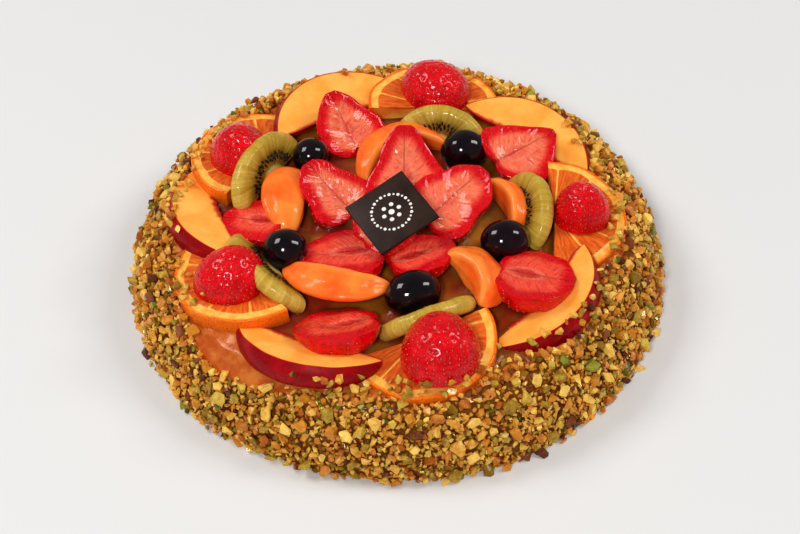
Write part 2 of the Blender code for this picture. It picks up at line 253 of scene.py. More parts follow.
def rough(points, size, seed=0.0):
    """Soft noise from -1 to 1 at points, with lumps about size mm across."""
    shift = Vector((seed * 17.3, seed * 5.1, seed * 9.7))
    lumps = [noise.noise(Vector(point) / size + shift) for point in points.reshape(-1, 3)]
    return np.reshape(lumps, points.shape[:-1])


def whole_turn(count):
    """Even turns round a circle, in radians."""
    return np.linspace(0, math.tau, count, endpoint=False)


def smooth_step(low, high, value):
    share = np.clip((value - low) / (high - low), 0.0, 1.0)
    return share * share * (3 - 2 * share)


def lay(name, shape, finishes, place, node=None, sharp=50.0):
    """Makes the piece's mesh, lays it at its place and has it stand for its solid."""
    mesh = bpy.data.meshes.new(name)
    mesh.from_pydata((shape.points * MM).tolist(), [], shape.faces)
    for finish in finishes:
        mesh.materials.append(finish)
    mesh.polygons.foreach_set("material_index", shape.slots)
    for mask, values in shape.masks.items():
        layer = mesh.attributes.new(mask, "FLOAT", "POINT")
        layer.data.foreach_set("value", np.asarray(values, np.float32))
    mesh.shade_smooth()
    mesh.set_sharp_from_angle(angle=math.radians(sharp))
    mesh.update()
    piece = bpy.data.objects.new(name, mesh)
    bpy.context.scene.collection.objects.link(piece)
    if place is not None:
        piece.location = Vector((place.x, place.y, place.z)) * MM
        angles = (place.raised, place.dip, place.turn)
        piece.rotation_euler = [math.radians(angle) for angle in angles]
    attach(piece, "root")
    if node:
        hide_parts(node)
        keep_near(piece, node)
    return piece


def keep_near(piece, node):
    """Stops the script if a piece strays from the solid that it stands for."""
    low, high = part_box(node)
    reach = STRAY_LIMIT * MM
    for corner in piece.data.vertices:
        at = piece.matrix_world @ corner.co
        if any(not low[i] - reach < at[i] < high[i] + reach for i in range(3)):
            raise SystemExit(f"{piece.name} strays from {node}")


def plan_wave(angle):
    """How far the hand-finished side strays from round, in mm."""
    first = -1.1 * np.cos(angle - 2.6)
    second = 0.8 * np.cos(2 * (angle - 0.74))
    third = 0.5 * np.cos(3 * angle + 2.57)
    fifth = 0.55 * np.cos(5 * angle - 0.19)
    return first + second + third + fifth


def side_radius(height):
    """The rounded side over the nuts, from the table up to the fruit."""
    k = np.minimum(1.0, height / SIDE_HEIGHT)
    reach = (1 - k**SIDE_ROUNDNESS) ** (1 / SIDE_ROUNDNESS)
    return RIM_RADIUS + (TART_RADIUS - RIM_RADIUS) * reach


def cream_height(radius):
    return CREAM_RIM + CREAM_CROWN * (1 - (radius / RIM_RADIUS) ** 2)


def bare_patch(angle):
    """1 where the nuts stop short of the fruit, at the front left, fading to 0 round it."""
    away = np.abs((angle - BARE_ANGLE + math.pi) % math.tau - math.pi) / BARE_HALF_SWEEP
    return 0.5 + 0.5 * np.cos(math.pi * np.minimum(1.0, away))


def orange_slice(seed, rows=84):
    """Half a slice: zest and pith round segments of flesh, which bulge between their membranes."""
    flesh_reach = ORANGE_RADIUS - ORANGE_RIND
    rim = ORANGE_RADIUS - 1.0
    start = math.acos(-ORANGE_PAST / ORANGE_RADIUS)
    angles = np.linspace(-start, start, rows)
    top = np.concatenate([np.linspace(0.5, 28, 30), np.linspace(28.8, rim, 12)])
    half = ORANGE_DEPTH / 2
    profile = [(r, half, 1) for r in top]
    for turn in np.linspace(80, -80, 9):
        bend = math.radians(turn)
        shoulder = math.copysign(half - 1.0, bend)
        profile.append((rim + math.cos(bend), shoulder + math.sin(bend), 0))
    profile += [(r, -half, 0) for r in (rim, 26, 18, 9, 0.5)]
    reach, height, on_top = (np.array(column, float) for column in zip(*profile))
    half_segment = ORANGE_SEGMENT / 2
    around = angles[:, None] + 0.35 * ORANGE_SEGMENT * math.sin(seed * 2.1)
    from_middle = np.abs((around + 0.06 * np.sin(around * 3 + seed)) % ORANGE_SEGMENT - half_segment)
    to_membrane = reach * np.sin(half_segment - from_middle)
    to_pith = flesh_reach - reach - 0.7 * (from_middle / half_segment) ** 4
    inside = smooth_step(0.1, 1.1, np.minimum(to_membrane, to_pith)) * on_top
    wobble = 1 + 0.012 * np.sin(angles * 4 + seed) + 0.008 * np.sin(angles * 9 - seed)
    rings = np.empty((rows, len(profile), 3))
    rings[..., 0] = np.maximum(reach * (wobble * np.cos(angles))[:, None], -ORANGE_PAST)
    rings[..., 1] = reach * (wobble * np.sin(angles))[:, None]
    rings[..., 2] = height
    whole = np.ones(rings.shape[:2])
    around_mm = around * 24 * whole
    vesicles = rough(np.stack([around_mm, reach * 0.35 * whole, seed * whole], -1), 1.3, seed)
    rings[..., 2] += inside * (0.45 + 0.35 * vesicles) - on_top * 0.35
    rings += ((1 - on_top) * rough(rings, 1.2, seed) * 0.12)[..., None] * np.array([1, 1, 0])
    zest = smooth_step(ORANGE_RADIUS - 1.9, ORANGE_RADIUS - 1.1, reach) * whole
    masks = {"flesh": inside, "zest": zest, "fibre": around_mm, "along": reach * whole}
    return tube(rings, masks=masks)


def kiwi_slice(half_length, seed, rows=64):
    """Half a peeled slice with a rounded rim; seeds stand round the pale heart of its face."""
    half = KIWI_DEPTH / 2
    profile = [(q, half, 1.0) for q in np.linspace(0.02, 0.8, 22)]
    for bend in np.radians(np.linspace(75, -75, 11)):
        inset = KIWI_ROUNDING * (1 - math.cos(bend)) / KIWI_REACH
        profile.append((1.0 - inset, half * math.sin(bend), 0.3))
    profile += [(q, -half, 0.0) for q in (0.84, 0.5, 0.02)]
    share, height, face = (np.array(column, float) for column in zip(*profile))
    angles = np.linspace(-math.pi / 2, math.pi / 2, rows)
    rings = np.empty((rows, len(profile), 3))
    rings[..., 0] = KIWI_REACH * share * np.cos(angles)[:, None]
    rings[..., 1] = half_length * share * np.sin(angles)[:, None]
    rings[..., 2] = height + 0.14 * np.cos(angles * 44)[:, None] * smooth_step(0.3, 0.5, share) * face
    lumps = rough(rings, 6.0, seed)
    rings[..., 2] += 0.5 * lumps * (height > 0)
    rings[..., 0] += 0.5 * lumps * smooth_step(0.8, 1.0, share) * np.cos(angles)[:, None]
    whole = np.ones(rings.shape[:2])
    shape = tube(rings, masks={"heart": share * whole, "fibre": angles[:, None] * 22 * whole})
    pips = []
    for count, ring_share in ((22, 0.44), (24, 0.53)):
        for i in range(count):
            angle = math.pi * ((i + 0.5) / count - 0.5) + 0.05 * math.sin(i * 5.3 + seed)
            q = ring_share + 0.03 * math.sin(i * 3.7 + seed)
            along = Vector((math.cos(angle), math.sin(angle), 0.0))
            at = Vector((KIWI_REACH * q * along.x, half_length * q * along.y, half + 0.1))
            pips.append((at, Vector((0, 0, 1)), along, *KIWI_SEED_SIZE))
    return shape.add(seeds(pips), slot=1)


def seeds(spots):
    """Small lens-shaped seeds: place, way up, way along, length, width and height of each."""
    shape = Shape(np.empty((0, 3)), [], [])
    for at, up, along, length, width, height in spots:
        side = up.cross(along).normalized()
        along = side.cross(up).normalized()
        points = []
        for reach, lift in ((1.0, 0.0), (0.62, 0.8)):
            for i in range(6):
                angle = math.tau * i / 6
                drawn = 1.0 + 0.25 * max(0.0, math.cos(angle))
                offset = along * (length / 2 * reach * drawn * math.cos(angle))
                offset += side * (width / 2 * reach * math.sin(angle))
                points.append(at + offset + up * (height * lift))
        points.append(at + up * height)
        faces = []
        for i in range(6):
            k = (i + 1) % 6
            faces.append((i, k, 6 + k, 6 + i))
            faces.append((6 + i, 6 + k, 12))
        faces.append((5, 4, 3, 2, 1, 0))
        shape.add(Shape([tuple(point) for point in points], faces, [0] * len(faces)))
    return shape


def crescent_slice(half_length, width, seed, rows=72):
    """A peach slice: a flat cut face over a red skin, a second cut face below, and a stone's hollow."""
    sweep = math.asin(half_length / PEACH_ARC_RADIUS)
    shares = np.sin(np.linspace(-math.pi / 2, math.pi / 2, rows)) * 0.995
    to_middle = PEACH_ARC_RADIUS - width / 2
    cut_columns = 18
    skin_columns = 15
    rings = []
    stone = []
    rim = []
    for t in shares:
        body = max(0.0, 1 - abs(t) ** 2.6)
        across = 1.2 + (width - 1.2) * body**0.6
        down = 1.6 + (PEACH_DEPTH - 1.6) * body**0.5
        coarse = noise.noise(Vector((t * 9.0, seed, 0.0)))
        fine = noise.noise(Vector((t * 31.0, seed, 4.0)))
        jag = (1.1 * coarse + 0.5 * fine) * body
        section = []
        for share in np.linspace(0, 1, cut_columns):
            crown = 0.4 * math.sin(math.pi * share) * body
            section.append((-(across + jag) * (1 - share), crown, 1 - share, share))
        skin = [(0.0, 0.0), (0.13 * down, -0.35 * down), (0.05 * down, -0.75 * down), (-0.3 * across, -down)]
        for share in np.linspace(0.06, 1, skin_columns):
            x, z = curve_through(skin, share)
            section.append((x, z, 0.0, 1.0 + share))
        for share in np.linspace(0.2, 1, 6):
            x = -0.3 * across - 0.55 * across * share
            z = -down + 0.4 * down * share
            section.append((x, z, share, 2.5))
        for share in np.linspace(0.25, 0.8, 4):
            x = across * (0.08 * math.sin(math.pi * share) - 0.85 - 0.15 * share) + jag * share
            section.append((x, -0.6 * down * (1 - share), 1.0, 2.5))
        way = (math.cos(sweep * t), math.sin(sweep * t))
        for x, z, inner, part in section:
            radius = PEACH_ARC_RADIUS + x
            rings.append((radius * way[0] - to_middle, radius * way[1], z))
            stone.append(1 - min(1.0, (across + x + jag) / 5.0) if part < 1.0 else inner)
            rim.append(smooth_step(0.95, 1.0, min(part, 1.0)))
    columns = len(section)
    rings = np.array(rings).reshape(rows, columns, 3)
    slots = [0] * (cut_columns - 1) + [1] * skin_columns + [0] * (columns - cut_columns - skin_columns + 1)
    rings[..., 2] += 0.5 * rough(rings, 11.0, seed)
    masks = {"stone": np.clip(stone, 0, 1).reshape(rows, columns), "rim": np.reshape(rim, (rows, columns))}
    return tube(rings, column_slots=slots, cap_slot=1, masks=masks)


def curve_through(points, share):
    """A smooth line through four points, from the first at 0 to the last at 1."""
    spans = len(points) - 1
    index = min(int(share * spans), spans - 1)
    t = share * spans - index
    around = [points[max(0, min(len(points) - 1, index + i))] for i in (-1, 0, 1, 2)]
    result = []
    for before, a, b, after in zip(*around):
        slope_a = (b - before) / 2
        slope_b = (after - a) / 2
        result.append(
            a * (2 * t**3 - 3 * t**2 + 1)
            + slope_a * (t**3 - 2 * t**2 + t)
            + b * (3 * t**2 - 2 * t**3)
            + slope_b * (t**3 - t**2)
        )
    return result


def apricot_slice(half_length, half_width, half_depth, arc_radius, seed, rows=64, columns=42):
    """A wedge with tapered ends, bent round an arc: round skin outside, two cut faces meeting inside."""
    shares = np.sin(np.linspace(-math.pi / 2, math.pi / 2, rows)) * 0.995
    girth = (1 - np.abs(shares) ** 2.2) ** 0.66
    girth[[0, -1]] = 0.06
    turns = whole_turn(columns)
    from_edge = (turns - APRICOT_EDGE + math.pi) % math.tau - math.pi
    ridge = 0.86 + 0.13 * np.cos(3 * from_edge) + 0.04 * np.cos(6 * from_edge)
    angle = half_length / arc_radius * shares
    radius = arc_radius + half_width * girth[:, None] * np.cos(turns) * ridge
    rings = np.empty((rows, columns, 3))
    rings[..., 0] = radius * np.cos(angle)[:, None] - arc_radius
    rings[..., 1] = radius * np.sin(angle)[:, None]
    rings[..., 2] = 1.1 * half_depth * girth[:, None] * np.sin(turns) * ridge
    rings += rough(rings, 9.0, seed)[..., None] * 0.8 * girth[:, None, None]
    rings += rough(rings, 2.5, seed + 3.0)[..., None] * 0.14 * girth[:, None, None]
    whole = np.ones((rows, columns))
    ends = smooth_step(0.5, 0.98, np.abs(shares))[:, None] * whole
    return tube(rings, masks={"pale": ends, "edge": np.exp(-((from_edge / 0.3) ** 2)) * whole})


def grape(half_length, half_width, seed, rows=44, columns=48):
    turns = math.pi * np.linspace(0.004, 0.996, rows)
    angles = whole_turn(columns)
    rings = np.empty((rows, columns, 3))
    rings[..., 0] = -half_length * np.cos(turns)[:, None]
    rings[..., 1] = half_width * np.sin(turns)[:, None] * np.cos(angles)
    rings[..., 2] = half_width * np.sin(turns)[:, None] * np.sin(angles)
    rings *= 1 + 0.025 * rough(rings, 7.0, seed)[..., None]
    return tube(rings)


def dimpled(rings, spots, on_skin, depth=0.5, spread=1.25):
    """Presses a dimple into the skin round each seed, and says how deep each point lies in one."""
    places = np.array([tuple(spot[0]) for spot in spots])
    ups = np.array([tuple(spot[1]) for spot in spots])
    away = np.linalg.norm(rings[:, :, None, :] - places[None, None], axis=-1)
    nearest = away.argmin(-1)
    dip = np.exp(-((away.min(-1) / spread) ** 2)) * on_skin
    rings -= ups[nearest] * (depth * dip)[..., None]
    return dip


def seed_spots(skin, lengthwise, girth, outward, first_turn, last_turn, seed):
    """Seeds in staggered rows over a berry's skin, which skin gives from share and turn."""
    spots = []
    rows = max(3, int(lengthwise / BERRY_SEED_GAP))
    span = last_turn - first_turn
    for i in range(rows):
        k = (i + 0.6) / rows
        count = max(2, int(girth(k) * span / BERRY_SEED_GAP))
        for j in range(count):
            jitter = 0.16 * math.sin(i * 7.7 + j * 3.1 + seed)
            turn = first_turn + span * ((j + 0.5 * (i % 2) + 0.25 + jitter) / count)
            share = k + 0.1 / rows * math.sin(i * 3.3 + j * 5.9 + seed)
            at = Vector(skin(share, turn))
            ahead = Vector(skin(min(0.995, share + 0.01), turn)) - at
            beside = Vector(skin(share, turn + 0.02)) - at
            up = beside.cross(ahead).normalized()
            if up.dot(outward(at)) < 0:
                up = -up
            spots.append((at - up * BERRY_SEED_SINK, up, ahead.normalized(), *BERRY_SEED_SIZE))
    return spots


def standing_berry(radius, height, seed, rows=62, columns=104):
    """A whole hulled strawberry, standing tip up."""

    def girth(k):
        return radius * (1 - k**2.1) ** 0.62

    def skin(k, turn):
        lump = 1 + 0.05 * math.sin(2 * turn + seed) + 0.03 * math.sin(3 * turn - 2 * seed)
        reach = girth(k) * lump
        lean = 1.2 * k * k
        x = reach * math.cos(turn) + lean * math.cos(seed)
        y = reach * math.sin(turn) + lean * math.sin(seed)
        return (x, y, height * k)

    def outward(at):
        return Vector((at.x, at.y, at.z * 0.5))

    shares = np.sin(np.linspace(0, math.pi / 2, rows)) * 0.998
    rings = np.array([[skin(k, turn) for turn in whole_turn(columns)] for k in shares])
    spots = seed_spots(skin, radius + height, girth, outward, 0.0, math.tau, seed)
    dip = dimpled(rings, spots, 1.0)
    rings += rough(rings, 3.0, seed)[..., None] * 0.12
    return tube(rings, masks={"dimple": dip}).add(seeds(spots), slot=1)


def outline_at(k, side_widths):
    """A half strawberry's outline from hull, 0, to tip, 1, with its corners rounded off."""
    drawn = curve_through([(width,) for width in side_widths], k)[0]
    return max(0.02, drawn) * math.sqrt(1 - k**16) * math.sqrt(1 - (1 - min(1.0, k + 0.008)) ** 18)


def half_berry(length, width, outlines, seed, rows=80):
    """A strawberry half: cut face up with its core and border, seeded skin below, tip to +X."""
    notch = 2.5 + 1.5 * math.sin(seed * 1.7)

    def outline(k, side):
        wave = 1 + 0.03 * math.sin(9 * k + seed * 2 + side) + 0.025 * math.sin(17 * k + seed * 5 - side)
        return width / 2 * outline_at(k, outlines[0] if side > 0 else outlines[1]) * wave

    def mean_girth(k):
        return width / 2 * (outline_at(k, outlines[0]) + outline_at(k, outlines[1])) / 2

    def cut(k, side):
        x = length * (k - 0.5) + notch * (1 - abs(side)) * (1 - k) ** 4
        return (x, outline(k, side) * side, 0.0)

    def skin(k, turn):
        x, y, _ = cut(k, math.cos(turn))
        return (x, y, -BERRY_HALF_DEPTH * mean_girth(k) * abs(math.sin(turn)) ** 0.8)

    def outward(at):
        return Vector((0, at.y, at.z))

    shares = np.linspace(0, 1, rows) ** 0.9 * 0.985
    across = np.linspace(-1, 1, 41)
    turns = math.pi * np.linspace(0, 1, 34)[1:-1]
    rings = np.array([[cut(k, s) for s in across] + [skin(k, turn) for turn in turns] for k in shares])
    whole = np.ones(rings.shape[:2])
    on_skin = np.array([0.0] * len(across) + [1.0] * len(turns)) * whole
    spots = seed_spots(skin, length, mean_girth, outward, 0.04, math.pi - 0.04, seed)
    dip = dimpled(rings, spots, on_skin)
    share = shares[:, None] * whole
    s = np.concatenate([across, np.ones(len(turns))]) * whole
    girth = np.array([mean_girth(k) for k in shares])[:, None]
    border = np.minimum((1 - np.abs(s)) * girth, (1 - share) * length * 0.8)
    core = np.clip(1 - ((s * 3.0) ** 2 + ((share - 0.34) / 0.36) ** 2), 0, 1)
    on_cut = 1 - on_skin
    fibre = (share - 0.3 * np.abs(s)) * length
    furrows = rough(np.stack([fibre * 0.9, np.abs(s) * 2.0, seed + (s > 0) * 3.0], -1), 1.4, seed)
    lumps = rough(rings, 8.0, seed)
    relief = 0.8 * lumps + 0.28 * furrows * smooth_step(0, 3, border) - 0.9 * core * (0.6 + furrows)
    relief -= 0.5 * (1 - smooth_step(0, 1.2, border))
    rings[..., 2] += relief * on_cut
    masks = {
        "dimple": dip,
        "border": np.clip(border / 8.0, 0, 1),
        "core": core,
        "fibre": fibre,
        "across": np.abs(s) + (s > 0) * 5.0,
    }
    slots = [0] * (len(across) - 1) + [1] * (len(turns) + 1)
    return tube(rings, column_slots=slots, cap_slot=0, masks=masks).add(seeds(spots), slot=2)


# ---------------------------------------------------------------- finishes


def rgb(red, green, blue):
    """A colour as mixed on a screen, 0 to 255, turned linear."""
    return (*[((c / 255 + 0.055) / 1.055) ** 2.4 if c > 10 else c / 3294.6 for c in (red, green, blue)], 1.0)


def add_node(tree, kind, values=None, **settings):
    """A node with its settings and its inputs, each a plain value or another node's output."""
    made = tree.nodes.new(kind)
    for key, value in settings.items():
        setattr(made, key, value)
    for key, value in (values or {}).items():
        if isinstance(value, bpy.types.NodeSocket):
            tree.links.new(value, made.inputs[key])
        else:
            made.inputs[key].default_value = value
    return made


def mixed(tree, share, first, second, blend="MIX"):
    values = {0: share, 6: first, 7: second}
    return add_node(tree, "ShaderNodeMix", values, data_type="RGBA", blend_type=blend).outputs[2]


def combined(tree, operation, first, second):
    return add_node(tree, "ShaderNodeMath", {0: first, 1: second}, operation=operation).outputs[0]


def plus(tree, first, second):
    return combined(tree, "ADD", first, second)


def times(tree, first, second):
    return combined(tree, "MULTIPLY", first, second)


def stepped(tree, value, low, high, start=0.0, end=1.0):
    """Runs from start to end as value goes from low to high."""
    values = {"Value": value, "From Min": low, "From Max": high, "To Min": start, "To Max": end}
    return add_node(tree, "ShaderNodeMapRange", values, interpolation_type="SMOOTHSTEP").outputs[0]


def cloud(tree, vector, scale, detail, roughness=0.55, distortion=0.0):
    """Noise from 0 to 1, with its lumps, their finer detail and how far they are drawn about."""
    values = {"Vector": vector, "Scale": scale, "Detail": detail}
    values |= {"Roughness": roughness, "Distortion": distortion}
    return add_node(tree, "ShaderNodeTexNoise", values).outputs["Fac"]


def mask_of(tree, name):
    return add_node(tree, "ShaderNodeAttribute", attribute_name=name).outputs["Fac"]


def own_space(tree):
    return add_node(tree, "ShaderNodeTexCoord").outputs["Object"]


def group(name, inputs, outputs):
    """An empty node group with its named inputs and outputs."""
    tree = bpy.data.node_groups.new(name, "ShaderNodeTree")
    for label, kind, value in inputs:
        socket = tree.interface.new_socket(label, in_out="INPUT", socket_type="NodeSocket" + kind)
        if value is not None:
            socket.default_value = value
    for label, kind in outputs:
        tree.interface.new_socket(label, in_out="OUTPUT", socket_type="NodeSocket" + kind)
    return tree, tree.nodes.new("NodeGroupInput"), tree.nodes.new("NodeGroupOutput")


def make_mottle():
    """Two colours that drift into each other in patches."""
    inputs = [
        ("Vector", "Vector", None),
        ("Scale", "Float", 100.0),
        ("Low", "Float", 0.35),
        ("High", "Float", 0.65),
        ("First", "Color", (1, 1, 1, 1)),
        ("Second", "Color", (0, 0, 0, 1)),
    ]
    tree, start, end = group("mottle", inputs, [("Color", "Color"), ("Mask", "Float")])
    patches = cloud(tree, start.outputs["Vector"], start.outputs["Scale"], 4.0, 0.6)
    mask = stepped(tree, patches, start.outputs["Low"], start.outputs["High"])
    tree.links.new(mixed(tree, mask, start.outputs["First"], start.outputs["Second"]), end.inputs["Color"])
    tree.links.new(mask, end.inputs["Mask"])
    return tree


def make_fibres():
    """Streaks along a fruit's fibres: close together across them, drawn out along them."""
    inputs = [(name, "Float", 1.0) for name in ("Across", "Along", "Count", "Stretch")]
    tree, start, end = group("fibres", inputs, [("Mask", "Float")])
    across = times(tree, start.outputs["Across"], start.outputs["Count"])
    along = times(tree, start.outputs["Along"], start.outputs["Stretch"])
    place = add_node(tree, "ShaderNodeCombineXYZ", {"X": across, "Y": along}).outputs[0]
    streak = cloud(tree, place, 1.0, 3.0, 0.65, 0.4)
    tree.links.new(stepped(tree, streak, 0.36, 0.64), end.inputs["Mask"])
    return tree


def make_glaze():
    """The clear glaze over all the fruit: slow swells, small ripples and duller patches."""
    inputs = [("Vector", "Vector", None), ("Swell", "Float", 1.0), ("Ripple", "Float", 0.3)]
    tree, start, end = group("glaze", inputs, [("Height", "Float"), ("Dullness", "Float")])
    swell = cloud(tree, start.outputs["Vector"], 130.0, 1.0)
    ripple = cloud(tree, start.outputs["Vector"], 900.0, 2.0)
    high = times(tree, swell, start.outputs["Swell"])
    low = times(tree, ripple, start.outputs["Ripple"])
    tree.links.new(plus(tree, high, low), end.inputs["Height"])
    patches = cloud(tree, start.outputs["Vector"], 210.0, 2.0)
    tree.links.new(stepped(tree, patches, 0.4, 0.7), end.inputs["Dullness"])
    return tree


GLOSS = (0.22, 0.45)  # roughness, from the shiniest to the dullest glaze
MOTTLE = make_mottle()
FIBRES = make_fibres()
GLAZE = make_glaze()


def mottled(tree, scale, first, second):
    """Two colours in patches over the piece."""
    values = {"Vector": own_space(tree), "Scale": scale, "First": first, "Second": second}
    return add_node(tree, "ShaderNodeGroup", values, node_tree=MOTTLE).outputs["Color"]


def streaked(tree, across, along, count, stretch):
    """A mask of streaks along a fruit's fibres."""
    values = {"Across": across, "Along": along, "Count": count, "Stretch": stretch}
    return add_node(tree, "ShaderNodeGroup", values, node_tree=FIBRES).outputs["Mask"]


def finish(name, coat=0.4, under=0.0, under_reach=(1.0, 0.3, 0.1)):
    """A material with its shader; coat is the glaze on top and under the light that enters."""
    material = bpy.data.materials.new(name)
    material.use_nodes = True
    tree = material.node_tree
    shader = tree.nodes["Principled BSDF"]
    shader.inputs["Coat Weight"].default_value = coat
    shader.inputs["Coat Roughness"].default_value = 0.05
    shader.inputs["Coat IOR"].default_value = 1.37
    shader.inputs["Specular IOR Level"].default_value = 0.15
    shader.inputs["Subsurface Weight"].default_value = under
    shader.inputs["Subsurface Radius"].default_value = under_reach
    shader.inputs["Subsurface Scale"].default_value = 0.004
    return material, tree, shader


def bumped(tree, shader, height, strength, depth):
    """Wires a height into the shader's surface, depth mm deep."""
    bump = add_node(tree, "ShaderNodeBump", {"Strength": strength, "Distance": depth * MM, "Height": height})
    tree.links.new(bump.outputs[0], shader.inputs["Normal"])


def glazed(tree, shader, colour, gloss=GLOSS, swell=1.0, ripple=0.3, relief=0.0, strength=0.35, depth=0.6):
    """Wires a colour into the shader under the glaze's gloss and ripples."""
    values = {"Vector": own_space(tree), "Swell": swell, "Ripple": ripple}
    film = add_node(tree, "ShaderNodeGroup", values, node_tree=GLAZE)
    bumped(tree, shader, plus(tree, film.outputs["Height"], relief), strength, depth)
    dullness = stepped(tree, film.outputs["Dullness"], 0.0, 1.0, *gloss)
    tree.links.new(dullness, shader.inputs["Roughness"])
    tree.links.new(colour, shader.inputs["Base Color"])


def orange_finish():
    material, tree, shader = finish("glazed_orange", under=0.15)
    flesh = mask_of(tree, "flesh")
    vesicle = streaked(tree, mask_of(tree, "fibre"), mask_of(tree, "along"), 0.8, 0.12)
    meat = mixed(tree, vesicle, rgb(210, 84, 28), rgb(232, 124, 44))
    pith = mottled(tree, 260.0, rgb(255, 200, 98), rgb(250, 172, 74))
    face = mixed(tree, stepped(tree, flesh, 0.15, 0.75), pith, meat)
    pores = add_node(tree, "ShaderNodeTexVoronoi", {"Vector": own_space(tree), "Scale": 700.0})
    in_pore = stepped(tree, pores.outputs["Distance"], 0.0, 0.5)
    peel = mixed(tree, in_pore, rgb(224, 82, 18), rgb(248, 128, 30))
    colour = mixed(tree, mask_of(tree, "zest"), face, peel)
    glazed(tree, shader, colour, relief=times(tree, vesicle, 0.5))
    return material


def peach_flesh_finish():
    material, tree, shader = finish("glazed_peach_flesh", under=0.2, under_reach=(1.0, 0.5, 0.15))
    meat = mottled(tree, 60.0, rgb(254, 168, 72), rgb(255, 190, 96))
    stain_edge = cloud(tree, own_space(tree), 380.0, 4.0, 0.7)
    stone = plus(tree, mask_of(tree, "stone"), times(tree, stain_edge, 0.7))
    stain = stepped(tree, stone, 0.6, 1.2)
    colour = mixed(tree, stain, meat, rgb(190, 40, 30))
    rim = stepped(tree, mask_of(tree, "rim"), 0.35, 0.9)
    colour = mixed(tree, rim, colour, rgb(190, 30, 20))
    glazed(tree, shader, colour, gloss=(0.3, 0.5), ripple=0.2, strength=0.2)
    return material


def peach_skin_finish():
    material, tree, shader = finish("glazed_peach_skin", coat=0.3, under=0.05)
    blush = mottled(tree, 90.0, rgb(142, 0, 16), rgb(176, 2, 20))
    speck = cloud(tree, own_space(tree), 1500.0, 1.0)
    colour = mixed(tree, stepped(tree, speck, 0.62, 0.8, 0.0, 0.35), blush, rgb(220, 90, 70))
    glazed(tree, shader, colour, gloss=(0.4, 0.55), strength=0.25)
    return material


def kiwi_finish():
    material, tree, shader = finish("glazed_kiwi", under=0.25, under_reach=(0.7, 0.8, 0.2))
    heart = mask_of(tree, "heart")
    rays = streaked(tree, mask_of(tree, "fibre"), heart, 0.9, 0.5)
    outer = mixed(tree, rays, rgb(202, 166, 72), rgb(222, 190, 100))
    inner = mixed(tree, rays, rgb(112, 78, 20), rgb(160, 118, 40))
    flesh = mixed(tree, stepped(tree, heart, 0.5, 0.8), inner, outer)
    colour = mixed(tree, stepped(tree, heart, 0.22, 0.34), rgb(214, 196, 130), flesh)
    drift = mottled(tree, 70.0, rgb(255, 255, 255), rgb(226, 222, 176))
    colour = mixed(tree, 1.0, colour, drift, "MULTIPLY")
    glazed(tree, shader, colour, relief=times(tree, rays, 0.4))
    return material


def pip_finish(name, dark, light):
    material, tree, shader = finish(name, coat=0.3)
    colour = mottled(tree, 800.0, dark, light)
    glazed(tree, shader, colour)
    return material


def apricot_finish():
    material, tree, shader = finish("glazed_apricot", under=0.2, under_reach=(1.0, 0.35, 0.1))
    deep = mottled(tree, 55.0, rgb(255, 108, 36), rgb(255, 134, 54))
    patch = cloud(tree, own_space(tree), 75.0, 2.0, 0.4)
    pale = plus(tree, patch, times(tree, mask_of(tree, "pale"), 0.22))
    colour = mixed(tree, stepped(tree, pale, 0.6, 0.72, 0.0, 0.75), deep, rgb(255, 150, 64))
    colour = mixed(tree, times(tree, mask_of(tree, "edge"), 0.5), colour, rgb(255, 170, 84))
    glazed(tree, shader, colour, gloss=(0.25, 0.42), strength=0.3)
    return material


def grape_finish():
    material, tree, shader = finish("glazed_dark_grape", coat=1.0)
    bloom = mottled(tree, 120.0, rgb(12, 6, 12), rgb(34, 8, 22)
    )
    glazed(tree, shader, bloom, gloss=(0.08, 0.16), ripple=0.1, strength=0.15)
    return material


def berry_skin_finish():
    material, tree, shader = finish("glazed_strawberry_skin", 0.8, 0.1, (1.0, 0.1, 0.05))
    skin = mottled(tree, 110.0, rgb(236, 0, 24), rgb(206, 0, 20))
    # Painted shade: the skin turns darker red in the dimples round the seeds.
    dimple = stepped(tree, mask_of(tree, "dimple"), 0.3, 1.0, 0.0, 0.6)
    colour = mixed(tree, dimple, skin, rgb(120, 0, 12))
    glazed(tree, shader, colour, gloss=(0.16, 0.36), swell=1.6, ripple=0.3, strength=1.0, depth=1.6)
    return material


def berry_flesh_finish(name, flesh, pale, core, core_share):
    """The cut face: streaks from the core to a red border, which follows the skin."""
    material, tree, shader = finish(name, 0.8, 0.12, (1.0, 0.12, 0.06))
    streak = streaked(tree, mask_of(tree, "fibre"), mask_of(tree, "across"), 0.5, 1.3)
    blotch = cloud(tree, own_space(tree), 170.0, 5.0, 0.7)
    border = mask_of(tree, "border")
    light = plus(tree, times(tree, streak, 0.3), times(tree, blotch, 1.2))
    light = plus(tree, light, times(tree, border, 0.45))
    meat = mixed(tree, stepped(tree, light, 0.72, 1.3), flesh, pale)
    heart = plus(tree, mask_of(tree, "core"), times(tree, blotch, 0.8))
    meat = mixed(tree, stepped(tree, heart, 0.6, 1.05, 0.0, 0.6), meat, rgb(255, 150, 118))
    meat = mixed(tree, stepped(tree, heart, 0.85, 1.3, 0.0, core_share), meat, core)
    ragged = plus(tree, times(tree, blotch, 0.7), times(tree, streak, 0.3))
    edge = combined(tree, "SUBTRACT", border, ragged)
    colour = mixed(tree, stepped(tree, edge, -0.1, 0.5, 1.0, 0.0), meat, rgb(222, 2, 22))
    relief = plus(tree, times(tree, streak, 0.25), times(tree, blotch, 1.2))
    glazed(tree, shader, colour, gloss=(0.1, 0.3), relief=relief, ripple=0.3, strength=1.0, depth=1.4)
    return material


